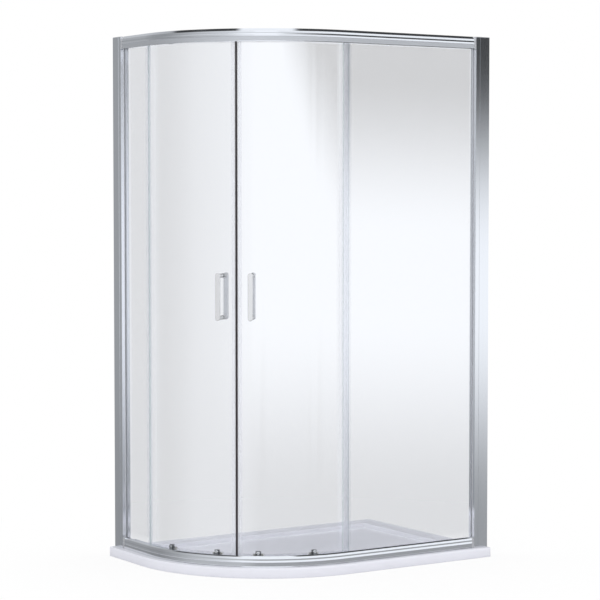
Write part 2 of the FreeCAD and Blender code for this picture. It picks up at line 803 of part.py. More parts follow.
def top_wheel(side, away):
    return on_side(at_station(wheel(top_wheel_depths, top_roller_z, top_pin), away), side)


# ---- bottom rollers -----------------------------------------------------------------------
glass_screw_end = door_back + 2.7
mount_plate = (door_back + 1.5 * contact_gap, door_back + 3.0)
body_depths = (door_back + 3.0, door_back + 10.0)
body_half = 4.2
body_heights = (deck_z + upstand_height + 0.8, screw_height + 7.5)
pocket_top = body_heights[1] - 1.5
pocket_diameter = 6.0
pocket_depth = door_back + 6.5
pocket_floor = body_heights[0] + web
plunger_diameter = 5.4
plunger_heights = (pocket_floor + 0.2, pocket_floor + 5.2)
carrier_depths = (body_depths[1] + 2 * contact_gap, body_depths[1] + 2.8)
spring_wire = 0.9
bottom_wheel_depths = (bottom_roller_mid - roller_width / 2, bottom_roller_mid + roller_width / 2)


def upright_rod(diameter, depth, heights):
    return Part.makeCylinder(diameter / 2, heights[1] - heights[0], Vector(face_radius - depth, 0, heights[0]))


def bottom_mounts(side):
    """Blocks screwed to the door glass, each bored from below for the sprung carrier.

    The carrier's neck snaps past the bridge at the foot of the slot, which then holds it in."""
    shapes = []
    slot_heights = (pocket_floor, plunger_heights[1] + release_travel + side_clearance)
    for away in stations.values():
        plate = block(mount_plate, 10.0, (screw_height - 8.0, body_heights[1]))
        shape = joined(plate, block(body_depths, body_half, body_heights))
        shape = shape.cut(upright_rod(pocket_diameter, pocket_depth, (body_heights[0], pocket_top)))
        shape = shape.cut(block((pocket_depth, body_depths[1]), 1.5, slot_heights))
        hole = (door_back, glass_screw_end + contact_gap)
        shape = shape.cut(radial_rod(glass_screw_diameter + 2 * running_clearance, hole, screw_height))
        shapes.append(on_side(at_station(shape, away), side))
    return group(shapes)


def bottom_carrier(side, away):
    """The sprung part that holds two wheels and is lifted to free the door for cleaning."""
    low, high = bottom_roller_z - 3.3, bottom_roller_z + 7.7
    plate = block(carrier_depths, 17.0, (low, high))
    tab = block((carrier_depths[1], carrier_depths[1] + 6.0), 8.0, (high - 3.0, high))
    neck = block((pocket_depth, carrier_depths[0]), 1.2, plunger_heights)
    plunger = upright_rod(plunger_diameter, pocket_depth, plunger_heights)
    shape = joined(plate, tab, neck, plunger)
    rivet_start = bottom_wheel_depths[0] - 2 * contact_gap
    for offset in (-twin_spacing / 2, twin_spacing / 2):
        pin = radial_rod(roller_pin, (rivet_start, carrier_depths[0]), bottom_roller_z, offset)
        rivet = radial_rod(roller_pin + 2.0, (rivet_start - 0.8, rivet_start), bottom_roller_z, offset)
        boss_depths = (bottom_wheel_depths[1] + 2 * contact_gap, carrier_depths[0])
        boss = radial_rod(roller_pin + 2.0, boss_depths, bottom_roller_z, offset)
        shape = joined(shape, pin, rivet, boss)
    return on_side(at_station(shape, away), side)


def bottom_wheel(side, away, offset):
    return on_side(at_station(wheel(bottom_wheel_depths, bottom_roller_z, roller_pin, offset), away), side)


def bottom_spring(side, away):
    """The compression spring in a mount's bore, as a plain sleeve above the carrier's plunger."""
    heights = (plunger_heights[1] + contact_gap, pocket_top - contact_gap)
    outer = plunger_diameter - 2 * side_clearance
    sleeve = upright_rod(outer, pocket_depth, heights).cut(upright_rod(outer - 2 * spring_wire, pocket_depth, heights))
    return on_side(at_station(sleeve, away), side)


def roller_screws(side):
    """Flat-head screws through the glass, one for each roller bracket."""
    shapes = []
    head_depths = (door_front - glass_screw_head, door_front - contact_gap / 2)
    for away in stations.values():
        for height in (screw_height, top_screw_height):
            head = radial_rod(glass_screw_head_diameter, head_depths, height)
            head = head.makeFillet(1.0, [head.Edges[0]])
            shank = radial_rod(glass_screw_diameter, (door_front - 1.0, glass_screw_end), height)
            shapes.append(on_side(at_station(joined(head, shank), away), side))
    return group(shapes)


# ---- stops --------------------------------------------------------------------------------
def open_place(side, away, depth):
    """Where a point of the left door lies once that door is fully open."""
    angle = math.radians(meeting_angle - away)
    radius = face_radius - depth
    point = arc_centre + Vector(radius * math.cos(angle), radius * math.sin(angle), 0)
    turn = FreeCAD.Rotation(UP, -door_swing)
    pivot = door_pivot(side)
    return pivot + turn.multVec(point - pivot)


def door_stops():
    """Buffers on the top rail's ledge that the trailing wheels meet when a door is fully open."""
    shapes = []
    wheel_place = open_place(LEFT, trail_roller, door_mid)
    start = wheel_place.y - arc_centre.y + roller_diameter / 2 + 1.0
    base = top_rail_base + ledge_height + web
    for side in (LEFT, RIGHT):
        buffer = side_box(straight[side], (lip_back + side_clearance, ledge_back - ledge_lip - side_clearance),
                          (start, start + 14.0), (base, base + roller_diameter))
        shapes.append(on_side(buffer.makeFillet(2.0, buffer.Edges), side))
    return group(shapes)


# ---- assembly -----------------------------------------------------------------------------
def all_nodes():
    nodes = {"shower_tray": shower_tray(), "waste_flange": waste_flange_ring(), "waste_cover": waste_cover_disc()}
    nodes["top_rail"] = top_rail()
    nodes["bottom_rail"] = bottom_rail()
    nodes["rail_connectors"] = rail_connectors()
    nodes["profile_caps"] = profile_caps()
    nodes["frame_screws"] = frame_screws()
    nodes["glazing_gaskets"] = glazing_gaskets()
    nodes["door_stops"] = door_stops()
    nodes["panel_edge_seals"] = group([panel_edge_seal(LEFT), panel_edge_seal(RIGHT)])
    makers = {"wall_profile": wall_profile, "side_profile": side_profile, "fixed_glass": fixed_glass}
    makers.update({"door_glass": door_glass, "magnet_profile": magnet_profile, "magnet_strip": magnet_strip})
    makers.update({"trailing_seal": trailing_seal, "wipe_seal": wipe_seal, "handle_outer": handle_outer})
    makers.update({"handle_inner": handle_inner, "handle_studs": handle_studs, "top_hangers": top_hangers})
    makers.update({"bottom_mounts": bottom_mounts, "roller_screws": roller_screws})
    for side in (LEFT, RIGHT):
        for name, make in makers.items():
            nodes[f"{name}_{side}"] = make(side)
        for place, away in stations.items():
            nodes[f"top_wheel_{side}_{place}"] = top_wheel(side, away)
            nodes[f"bottom_carrier_{side}_{place}"] = bottom_carrier(side, away)
            nodes[f"bottom_spring_{side}_{place}"] = bottom_spring(side, away)
            for letter, offset in (("a", twin_spacing / 2), ("b", -twin_spacing / 2)):
                nodes[f"bottom_wheel_{side}_{place}_{letter}"] = bottom_wheel(side, away, offset)
    return nodes


def main():
    os.makedirs("parts", exist_ok=True)
    for name, shape in all_nodes().items():
        solids = shape.Solids
        volume = sum(s.Volume for s in solids)
        print(f"{name}: {len(solids)} solids, {volume / 1000:.2f} cm3, valid {shape.isValid()}")
        shape.exportStep(f"parts/{name}.step")


main()
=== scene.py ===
import math

import bmesh
import bpy
from bpy.props import FloatProperty, FloatVectorProperty, IntProperty, PointerProperty
from bpy.types import Operator, Panel, PropertyGroup
from mathutils import Matrix, Vector


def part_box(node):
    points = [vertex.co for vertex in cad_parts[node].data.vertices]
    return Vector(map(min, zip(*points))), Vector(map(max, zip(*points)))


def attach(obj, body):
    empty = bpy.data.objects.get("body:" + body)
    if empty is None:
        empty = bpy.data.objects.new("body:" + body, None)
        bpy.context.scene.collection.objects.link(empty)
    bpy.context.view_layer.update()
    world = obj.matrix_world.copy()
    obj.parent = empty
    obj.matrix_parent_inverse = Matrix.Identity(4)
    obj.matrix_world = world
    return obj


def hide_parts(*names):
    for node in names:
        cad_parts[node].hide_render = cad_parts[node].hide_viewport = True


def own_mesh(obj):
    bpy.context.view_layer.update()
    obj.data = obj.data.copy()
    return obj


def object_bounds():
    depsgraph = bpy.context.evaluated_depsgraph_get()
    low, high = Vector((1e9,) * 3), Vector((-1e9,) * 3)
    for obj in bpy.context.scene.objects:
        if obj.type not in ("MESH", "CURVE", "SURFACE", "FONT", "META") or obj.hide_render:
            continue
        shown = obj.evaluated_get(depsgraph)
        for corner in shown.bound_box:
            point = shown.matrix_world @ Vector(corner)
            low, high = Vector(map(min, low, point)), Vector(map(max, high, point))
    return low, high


bl_info = {
    "name": "Quadrant Shower Enclosure",
    "version": (1, 0, 0),
    "blender": (4, 5, 0),
    "location": "3D View > Sidebar > Shower",
    "description": "Dresses the solids of a quadrant shower enclosure with shapes and finishes",
    "category": "Add Mesh",
}

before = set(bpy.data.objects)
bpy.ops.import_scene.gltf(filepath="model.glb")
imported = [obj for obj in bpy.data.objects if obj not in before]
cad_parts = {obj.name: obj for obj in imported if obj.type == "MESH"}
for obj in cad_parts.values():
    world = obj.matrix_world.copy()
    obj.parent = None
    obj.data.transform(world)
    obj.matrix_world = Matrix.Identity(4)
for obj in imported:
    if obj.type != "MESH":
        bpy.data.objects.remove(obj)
CAD_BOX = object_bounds()

MM = 0.001
SIDES = ("left", "right")
TRAY_LOW, TRAY_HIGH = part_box("shower_tray")

# Directions, in degrees. The meeting line's is seen from the arc's centre, and the others count away from it.
MEETING = 225.0
PLACES = {"lead": 9.0, "trail": 33.0}
HANDLE_AWAY = 6.4

# Depths behind the frame's outer face
GLASS_OUTSIDE, GLASS_INSIDE = 30.9 * MM, 37.3 * MM
SCREW_TIP, SCREW_SEAT, SCREW_TOP = 39.7 * MM, 30.95 * MM, 28.6 * MM

HANDLE_STANDOFF = 35 * MM
STUD_RADIUS = 3.3 * MM
SCREW_HEAD_RADIUS = 7 * MM
SPRING_COIL_RADIUS = 2.35 * MM
DRAIN_RADIUS = 45 * MM
SKIRT_RADIUS = 45.7 * MM

# The camera's turn and pitch in degrees, place in metres, focal length and frame in pixels, and sensor in mm
VIEW_TURN, VIEW_PITCH = -32.96, 3.04
VIEW_DISTANCE, VIEW_HEIGHT = 7.6145, 1.37321
FOCAL_PIXELS, FRAME_PIXELS, SENSOR = 2031.91, 600.0, 36.0

WHITE = (1.0, 1.0, 1.0, 1.0)


# ---- sizes and colours a user would change --------------------------------------------------
def length(name, description, value):
    return FloatProperty(name=name, description=description, default=value, min=0.0, unit="LENGTH",
                         subtype="DISTANCE")


def colour(name, description, value):
    return FloatVectorProperty(name=name, description=description, default=value, size=3, min=0.0, max=1.0,
                               subtype="COLOR")


class ShowerSizes(PropertyGroup):
    tray_radius: length("Tray radius", "Radius of the tray's large rounded corner", 0.550)
    tray_corner: length("Tray corner", "Radius of the tray's three small corners", 0.006)
    edge_round: length("Edge round", "Rounding of the tray's upper edge", 0.003)
    rim_width: length("Rim width", "Flat rim between the tray's edge and its basin", 0.080)
    rim_slope: length("Rim slope", "Width of the slope from the rim to the basin's floor", 0.014)
    basin_depth: length("Basin depth", "Depth of the basin's floor under the rim", 0.015)
    waste_reach: length("Waste reach", "Distance of the waste from the centre of the large radius", 0.330)
    waste_dish: length("Waste dish", "Radius of the shallow dish around the waste", 0.090)
    frame_inset: length("Frame inset", "Distance of the frame's face from the tray's edge", 0.025)
    handle_height: length("Handle height", "Overall height of a handle", 0.170)
    handle_width: length("Handle width", "Width of a handle's bar", 0.018)
    handle_thickness: length("Handle thickness", "Thickness of a handle's bar", 0.008)
    handle_posts: length("Handle post spacing", "Distance between a handle's two posts", 0.150)
    handle_middle: length("Handle middle", "Height of a handle's middle above the floor", 1.001)
    post_radius: length("Post radius", "Radius of a handle's posts", 0.008)
    wheel_radius: length("Wheel radius", "Radius of the nylon wheels", 0.008)
    wheel_width: length("Wheel width", "Width of the nylon wheels", 0.005)
    spring_wire: length("Spring wire", "Thickness of the carrier springs' wire", 0.0007)
    spring_turns: IntProperty(name="Spring turns", description="Turns of each carrier spring", default=6, min=2)
    profile_edge: length("Profile edge", "Rounding of the posts' long edges", 0.0006)


class ShowerColours(PropertyGroup):
    acrylic: colour("Acrylic", "Tray surface", (0.87, 0.875, 0.945))
    aluminium: colour("Aluminium", "Polished frame profiles", (0.95, 0.96, 0.985))
    chrome: colour("Chrome", "Handles and waste cover", (0.89, 0.89, 0.90))
    steel: colour("Steel", "Screws, springs and hangers", (0.74, 0.74, 0.75))
    glass_edge: colour("Glass edge", "Ground edges of the glass", (0.60, 0.72, 0.70))
    clear_plastic: colour("Clear plastic", "Seals at the glass edges", (0.93, 0.935, 0.955))
    gasket: colour("Gasket", "Glazing gaskets", (0.66, 0.67, 0.70))
    # On the handle washers this black is partly the rubber's own colour and partly painted shade at the posts' feet.
    dark_rubber: colour("Dark rubber", "Buffers and washers", (0.022, 0.022, 0.024))
    magnet: colour("Magnet", "Magnetic strips at the meeting edges", (0.030, 0.022, 0.026))
    grey_plastic: colour("Grey plastic", "Connectors and end caps", (0.46, 0.47, 0.50))
    dark_plastic: colour("Dark plastic", "Roller brackets and carriers", (0.110, 0.113, 0.120))
    nylon: colour("Nylon", "Wheels", (0.78, 0.77, 0.72))
    floor: colour("Floor", "Floor under the enclosure", (0.90, 0.90, 0.90))


def sizes():
    return bpy.context.scene.shower_sizes


def colours():
    return bpy.context.scene.shower_colours


def opaque(value, dim=1.0):
    """The colour with full alpha, made darker or lighter by dim."""
    return tuple(channel * dim for channel in value) + (1.0,)


# ---- plan of the enclosure ------------------------------------------------------------------
def arc_centre():
    radius = sizes().tray_radius
    return Vector((TRAY_LOW.x + radius, TRAY_LOW.y + radius, 0.0))


def station_angle(side, away):
    """Angle about the arc's centre of a place so many degrees from the doors' meeting line."""
    return math.radians(MEETING - away if side == "left" else MEETING + away)


def station(side, away, height=0.0):
    """Axes on the arc's axis: X points outwards through the station, Y along the arc, Z up."""
    base = Matrix.Translation(arc_centre() + Vector((0, 0, height)))
    return base @ Matrix.Rotation(station_angle(side, away), 4, "Z")


def frame_radius():
    return sizes().tray_radius - sizes().frame_inset


def waste_axis():
    turn = math.radians(MEETING)
    reach = sizes().waste_reach
    return arc_centre() + Vector((reach * math.cos(turn), reach * math.sin(turn), 0.0))


def tray_ring(inset, height, steps=40):
    """Points of the tray's plan, stepped in by inset: a rectangle with one large rounded corner."""
    size = sizes()
    low = Vector((TRAY_LOW.x + inset, TRAY_LOW.y + inset))
    high = Vector((TRAY_HIGH.x - inset, TRAY_HIGH.y - inset))
    big, small = size.tray_radius - inset, size.tray_corner
    bends = [(low.x + big, low.y + big, big, 180, steps), (high.x - small, low.y + small, small, 270, 6),
             (high.x - small, high.y - small, small, 0, 6), (low.x + small, high.y - small, small, 90, 6)]
    points = []
    for x, y, radius, start, count in bends:
        for step in range(count + 1):
            turn = math.radians(start + 90 * step / count)
            points.append(Vector((x + radius * math.cos(turn), y + radius * math.sin(turn), height)))
    full = []
    for number, point in enumerate(points):
        following = points[(number + 1) % len(points)]
        pieces = 8 if is_straight(number, steps) else 1
        full += [point.lerp(following, part / pieces) for part in range(pieces)]
    return full


def is_straight(number, steps):
    """True for the last point of each bend, where a straight starts."""
    return number in (steps, steps + 7, steps + 14, steps + 21)


# ---- meshes ---------------------------------------------------------------------------------
def tidy(mesh, sharp=38.0):
    """Smooths the faces, and keeps edges that bend by more than sharp degrees."""
    for face in mesh.polygons:
        face.use_smooth = True
    mesh.set_sharp_from_angle(angle=math.radians(sharp))
    return mesh


def weave(rings, loop=False, cap_first=False, cap_last=False, bm=None):
    """Joins closed rings of equal length with quads; loop also joins the last ring to the first."""
    bm = bm or bmesh.new()
    rows = [[bm.verts.new(point) for point in ring] for ring in rings]
    pairs = list(zip(rows, rows[1:])) + ([(rows[-1], rows[0])] if loop else [])
    for first, second in pairs:
        count = len(first)
        for n in range(count):
            bm.faces.new((first[n], first[(n + 1) % count], second[(n + 1) % count], second[n]))
    if cap_first:
        bm.faces.new(list(reversed(rows[0])))
    if cap_last:
        bm.faces.new(rows[-1])
    return bm


def lathe(profile, place, steps=48, bm=None):
    """Turns a closed outline of (distance along the axis, radius) about the place's X axis.

    profile may be a list, or a function of the turn in degrees that gives one."""
    rings = []
    for step in range(steps):
        turn = 2 * math.pi * step / steps
        outline = profile(math.degrees(turn)) if callable(profile) else profile
        rings.append([place @ Vector((x, r * math.cos(turn), r * math.sin(turn))) for x, r in outline])
    return weave(rings, loop=True, bm=bm)


def rounded(corners, radius, steps=4):
    """Rounds the corners of a closed outline of (x, y) points, each by radius or by its own third value."""
    outline = []
    for number, corner in enumerate(corners):
        here = Vector(corner[:2])
        reach = corner[2] if len(corner) > 2 else radius
        before = Vector(corners[number - 1][:2]) - here
        after = Vector(corners[(number + 1) % len(corners)][:2]) - here
        reach = min(reach, before.length * 0.49, after.length * 0.49)
        if reach <= 0:
            outline.append(tuple(here))
            continue
        start, end = here + before.normalized() * reach, here + after.normalized() * reach
        for step in range(steps + 1):
            t = step / steps
            outline.append(tuple(start * (1 - t) ** 2 + here * 2 * t * (1 - t) + end * t ** 2))
    return outline


def piece(name, bm, body, finish, replaces=(), sharp=38.0):
    """Turns a mesh under construction into a finished piece that rides on a body."""
    bmesh.ops.remove_doubles(bm, verts=bm.verts, dist=1e-6)
    bmesh.ops.dissolve_degenerate(bm, dist=1e-7, edges=bm.edges)
    bmesh.ops.recalc_face_normals(bm, faces=bm.faces)
    mesh = bpy.data.meshes.new(name)
    bm.to_mesh(mesh)
    bm.free()
    mesh.materials.append(finish)
    tidy(mesh, sharp)
    made = bpy.data.objects.new(name, mesh)
    bpy.context.scene.collection.objects.link(made)
    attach(made, body)
    if replaces:
        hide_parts(*replaces)
    return made


# ---- node trees -----------------------------------------------------------------------------
class Wire:
    """A node's output, on which Python arithmetic adds Math nodes."""

    def __init__(self, paint, socket):
        self.paint, self.socket = paint, socket

    def maths(self, operation, *values):
        return self.paint.add("ShaderNodeMath", {"operation": operation}, dict(enumerate(values)))

    def __add__(self, other):
        return self.maths("ADD", self, other)

    def __radd__(self, other):
        return self.maths("ADD", other, self)

    def __sub__(self, other):
        return self.maths("SUBTRACT", self, other)

    def __rsub__(self, other):
        return self.maths("SUBTRACT", other, self)

    def __mul__(self, other):
        return self.maths("MULTIPLY", self, other)

    def __rmul__(self, other):
        return self.maths("MULTIPLY", other, self)

    def __truediv__(self, other):
        return self.maths("DIVIDE", self, other)

    def __rtruediv__(self, other):
        return self.maths("DIVIDE", other, self)

    def __pow__(self, other):
        return self.maths("POWER", self, other)

    def __lt__(self, other):
        return self.maths("LESS_THAN", self, other)

    def __abs__(self):
        return self.maths("ABSOLUTE", self)


class Paint:
    """Fills one node tree. Every node comes from add."""

    def __init__(self, tree):
        self.tree = tree
        tree.nodes.clear()

    def add(self, kind, settings=None, sockets=None, output=0):
        """Adds a node: its settings first, then the values or links of its sockets."""
        node = self.tree.nodes.new(kind)
        for name, value in (settings or {}).items():
            if name == "stops":
                self.set_stops(node.color_ramp, value)
            else:
                setattr(node, name, value)
        for name, value in (sockets or {}).items():
            if isinstance(value, Wire):
                self.tree.links.new(value.socket, node.inputs[name])
            else:
                node.inputs[name].default_value = value
        return Wire(self, node.outputs[output]) if node.outputs else None

    def set_stops(self, ramp, stops):
        while len(ramp.elements) < len(stops):
            ramp.elements.new(1.0)
        for element, (place, value) in zip(ramp.elements, stops):
            element.position = place
            element.color = opaque(value) if isinstance(value, (tuple, list)) else (value, value, value, 1.0)

    def split(self, vector):
        return [self.add("ShaderNodeSeparateXYZ", {}, {0: vector}, output) for output in range(3)]

    def join(self, x, y, z):
        return self.add("ShaderNodeCombineXYZ", {}, {0: x, 1: y, 2: z})

    def place(self):
        return self.add("ShaderNodeTexCoord", {}, {}, "Object")

    def noise(self, vector, scale, detail=2.0, roughness=0.5):
        return self.add("ShaderNodeTexNoise", {},
                        {"Vector": vector, "Scale": scale, "Detail": detail, "Roughness": roughness})

    def ramp(self, factor, stops):
        return self.add("ShaderNodeValToRGB", {"stops": stops}, {0: factor})

    def step(self, value, low, high, start=0.0, end=1.0):
        """A smooth rise from start to end between two values."""
        return self.add("ShaderNodeMapRange", {"interpolation_type": "SMOOTHSTEP"},
                        {0: value, 1: low, 2: high, 3: start, 4: end})

    def blend(self, factor, first, second):
        return self.add("ShaderNodeMix", {"data_type": "RGBA"}, {0: factor, 6: first, 7: second}, 2)

    def bump(self, height, distance, strength=1.0):
        return self.add("ShaderNodeBump", {}, {"Height": height, "Distance": distance, "Strength": strength})

    def principled(self, **sockets):
        return self.add("ShaderNodeBsdfPrincipled", {},
                        {name.replace("_", " "): value for name, value in sockets.items()})

    def mix(self, factor, first, second):
        return self.add("ShaderNodeMixShader", {}, {0: factor, 1: first, 2: second})

    def greatest(self, first, second):
        return self.add("ShaderNodeMath", {"operation": "MAXIMUM"}, {0: first, 1: second})

    def rays(self):
        """Whether the ray comes from the camera, through glass, or from a reflection."""
        return [self.add("ShaderNodeLightPath", {}, {}, name)
                for name in ("Is Camera Ray", "Is Transmission Ray", "Is Glossy Ray")]

    def reach(self):
        """How far out a point lies from the arc's centre, or from its axes on the straights; a length that
        grows along the frame; the height; and the two parts of the outward direction."""
        centre = arc_centre()
        x, y, z = self.split(self.place())
        dx = self.add("ShaderNodeMath", {"operation": "MINIMUM"}, {0: x - centre.x, 1: 0.0})
        dy = self.add("ShaderNodeMath", {"operation": "MINIMUM"}, {0: y - centre.y, 1: 0.0})
        return (dx * dx + dy * dy) ** 0.5, x - y, z, dx, dy


FINISHES = {}


def finish(name):
    """The material of that finish, made when it is first asked for."""
    if name not in FINISHES:
        material = bpy.data.materials.new(name)
        material.use_nodes = True
        paint = Paint(material.node_tree)
        surface = RECIPES[name](paint)
        paint.add("ShaderNodeOutputMaterial", {}, {"Surface": surface})
        FINISHES[name] = material
    return FINISHES[name]


def acrylic(paint):
    """Gloss acrylic: a soft orange-peel skin, with faint polishing clouds."""
    point = paint.place()
    peel = paint.noise(point, 420.0, 2.0)
    clouds = paint.noise(point, 9.0, 3.0)
    base = paint.blend(clouds, opaque(colours().acrylic, 0.985), opaque(colours().acrylic, 1.015))
    return paint.principled(Base_Color=base, Roughness=0.16 + clouds * 0.10, Normal=paint.bump(peel, 0.00012, 0.35),
                            Coat_Weight=0.15, Coat_Roughness=0.12)


def polished_lines(paint, lines, wear, satin=0.0):
    """Bright aluminium with lines along it; satin marks where the face is blasted instead of polished."""
    tone = paint.blend(wear, opaque(colours().aluminium, 0.97), opaque(colours().aluminium))
    rough = lines * 0.05 + wear * 0.03 + satin * 0.42 + 0.055
    return paint.principled(Base_Color=tone, Metallic=1.0, Roughness=rough, Normal=paint.bump(lines, 0.00003, 0.35))


def rail_aluminium(paint):
    """Bright extrusion, satin on the top rail's lower face, whose die lines follow the rail round the bend."""
    reach, along, height, _, _ = paint.reach()
    lines = paint.noise(paint.join(reach * 1400.0, height * 1400.0, along * 3.0), 1.0, 2.0)
    wear = paint.noise(paint.join(reach * 30.0, height * 30.0, along * 4.0), 1.0, 4.0)
    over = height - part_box("top_rail")[0].z
    satin = paint.step(over, 0.0022, 0.0028) * paint.step(over, 0.0178, 0.0186, 1.0, 0.0)
    return polished_lines(paint, lines, wear, satin)


def post_aluminium(paint):
    """Bright extrusion whose die lines run up the post."""
    x, y, z = paint.split(paint.place())
    lines = paint.noise(paint.join(x * 1400.0, y * 1400.0, z * 3.0), 1.0, 2.0)
    wear = paint.noise(paint.join(x * 30.0, y * 30.0, z * 4.0), 1.0, 4.0)
    return polished_lines(paint, lines, wear)


def handle_chrome(paint):
    """Satin chrome plating with faint finger smudges."""
    point = paint.place()
    smudge = paint.step(paint.noise(point, 55.0, 4.0, 0.6), 0.52, 0.70)
    ripple = paint.noise(point, 130.0, 1.0)
    return paint.principled(Base_Color=opaque(colours().chrome), Metallic=0.55, Roughness=0.24 + smudge * 0.03,
                            Normal=paint.bump(ripple, 0.00002, 0.10))


def ringed(paint):
    """Distance from the waste's axis, for turned and circular-brushed metal."""
    centre = waste_axis()
    x, y, _ = paint.split(paint.place())
    dx, dy = x - centre.x, y - centre.y
    return (dx * dx + dy * dy) ** 0.5


def waste_chrome(paint):
    """Polished cover with the finest turning rings."""
    turned = paint.noise(paint.join(ringed(paint) * 2600.0, 0.0, 0.0), 1.0, 2.0)
    spots = paint.step(paint.noise(paint.place(), 160.0, 3.0), 0.66, 0.78)
    return paint.principled(Base_Color=opaque(colours().chrome), Metallic=1.0,
                            Roughness=0.05 + turned * 0.05 + spots * 0.04, Normal=paint.bump(turned, 0.00002, 0.5))


def waste_steel(paint):
    """Brushed stainless steel, brushed round the waste."""
    brushed = paint.noise(paint.join(ringed(paint) * 3200.0, 0.0, 0.0), 1.0, 3.0)
    return paint.principled(Base_Color=opaque(colours().steel), Metallic=1.0, Roughness=0.20 + brushed * 0.16,
                            Normal=paint.bump(brushed, 0.00004, 0.6))


def screw_steel(paint):
    """Nickel-plated steel with small tool marks."""
    marks = paint.noise(paint.place(), 900.0, 3.0)
    return paint.principled(Base_Color=opaque(colours().steel), Metallic=1.0, Roughness=0.16 + marks * 0.18,
                            Normal=paint.bump(marks, 0.00003, 0.5))


def screw_chrome(paint):
    """Bright plated screw heads with fine turning marks."""
    marks = paint.noise(paint.place(), 1200.0, 2.0)
    return paint.principled(Base_Color=opaque(colours().chrome), Metallic=1.0, Roughness=0.08 + marks * 0.08,
                            Normal=paint.bump(marks, 0.00002, 0.4))


def hanger_steel(paint):
    """Stamped stainless bracket with upright brushing."""
    x, y, z = paint.split(paint.place())
    brushed = paint.noise(paint.join(x * 1800.0, y * 1800.0, z * 60.0), 1.0, 3.0)
    return paint.principled(Base_Color=opaque(colours().steel, 0.95), Metallic=1.0, Roughness=0.22 + brushed * 0.16,
                            Normal=paint.bump(brushed, 0.00004, 0.6))


def moulded(paint, tone, grain, rough, depth=0.00008):
    """Injection-moulded plastic with a spark-eroded grain."""
    point = paint.place()
    spark = paint.noise(point, grain, 3.0, 0.6)
    flow = paint.noise(point, 40.0, 2.0)
    base = paint.blend(flow, opaque(tone, 0.94), opaque(tone, 1.04))
    return paint.principled(Base_Color=base, Roughness=rough + spark * 0.16, Normal=paint.bump(spark, depth, 0.6))


def connector_plastic(paint):
    return moulded(paint, colours().grey_plastic, 1500.0, 0.26)


def cap_plastic(paint):
    return moulded(paint, colours().grey_plastic, 1500.0, 0.26)


def roller_plastic(paint):
    return moulded(paint, colours().dark_plastic, 1300.0, 0.34)


def wheel_nylon(paint):
    return moulded(paint, colours().nylon, 800.0, 0.32, 0.00005)


def buffer_rubber(paint):
    return moulded(paint, colours().dark_rubber, 700.0, 0.55, 0.00015)


def gasket_grey(paint):
    """Extruded rubber: matt, with faint lines and a trace of bloom."""
    x, y, z = paint.split(paint.place())
    lines = paint.noise(paint.join(x * 900.0, y * 900.0, z * 4.0), 1.0, 2.0)
    bloom = paint.noise(paint.place(), 60.0, 3.0)
    base = paint.blend(bloom, opaque(colours().gasket, 0.9), opaque(colours().gasket, 1.15))
    return paint.principled(Base_Color=base, Roughness=0.50 + lines * 0.2, Normal=paint.bump(lines, 0.00008, 0.5))


def magnet_black(paint):
    """Magnetic tape in a thin gloss sleeve."""
    x, y, z = paint.split(paint.place())
    waves = paint.noise(paint.join(x * 300.0, y * 300.0, z * 9.0), 1.0, 2.0)
    return paint.principled(Base_Color=opaque(colours().magnet), Roughness=0.30 + waves * 0.12,
                            Normal=paint.bump(waves, 0.00010, 0.4))


def seal_clear(paint):
    """Translucent extruded plastic, slightly milky, with draw lines along its length."""
    x, y, z = paint.split(paint.place())
    lines = paint.noise(paint.join(x * 900.0, y * 900.0, z * 0.8), 1.0, 2.0)
    haze = paint.noise(paint.place(), 5.0, 2.0)
    body = paint.principled(Base_Color=opaque(colours().clear_plastic), Roughness=0.16 + lines * 0.10,
                            Normal=paint.bump(lines, 0.00003, 0.2), Specular_IOR_Level=0.5)
    clear = paint.add("ShaderNodeBsdfTransparent", {}, {"Color": (0.992, 0.993, 1.0, 1.0)})
    return paint.mix(0.08 + haze * 0.04, clear, body)


def clear_glass(paint):
    """Toughened glass: each face mirrors about a fifth of the light. Just over the bottom rail it mirrors less: a
    painted weakening of the reflection there, not a property of the glass. The ground edges are green-grey."""
    reach, _, height, dx, dy = paint.reach()
    outward = paint.add("ShaderNodeVectorMath", {"operation": "NORMALIZE"}, {0: paint.join(dx, dy, 0.0)})
    facing = paint.add("ShaderNodeTexCoord", {}, {}, "Normal")
    straight = paint.add("ShaderNodeVectorMath", {"operation": "DOT_PRODUCT"}, {0: outward, 1: facing}, "Value")
    edge = abs(straight) < 0.6
    marks = paint.step(paint.noise(paint.place(), 7.0, 5.0, 0.65), 0.55, 0.80)
    mirror = paint.principled(Base_Color=(0.98, 0.985, 1.0, 1.0), Metallic=1.0, Roughness=0.002 + marks * 0.008)
    clear = paint.add("ShaderNodeBsdfTransparent", {}, {"Color": (0.986, 0.990, 1.0, 1.0)})
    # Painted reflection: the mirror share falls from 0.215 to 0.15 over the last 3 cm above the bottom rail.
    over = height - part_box("bottom_rail")[1].z
    pane = paint.mix(paint.step(over, 0.0, 0.03, 0.15, 0.215) + marks * 0.004, clear, mirror)
    ground = paint.principled(Base_Color=opaque(colours().glass_edge), Roughness=0.22)
    sides = paint.mix(0.55, clear, ground)
    return paint.mix(edge, pane, sides)


def floor_white(paint):
    """Pale floor that keeps the object's soft shadow and fades into the white background."""
    x, y, _ = paint.split(paint.place())
    far = paint.step((x * x + y * y) ** 0.5, 0.75, 1.5)
    camera, through, mirrored = paint.rays()
    seen = paint.greatest(camera, through)
    grit = paint.noise(paint.place(), 300.0, 3.0)
    tone = paint.blend(grit, opaque(colours().floor, 0.99), opaque(colours().floor))
    matt = paint.principled(Base_Color=tone, Roughness=0.9, Normal=paint.bump(grit, 0.0002, 0.2))
    white = paint.add("ShaderNodeEmission", {}, {"Color": WHITE, "Strength": 1.0})
    pale = paint.mix(seen * (0.84 + far * 0.16), matt, white)
    away = paint.add("ShaderNodeBsdfTransparent", {}, {})
    return paint.mix(mirrored, pale, away)


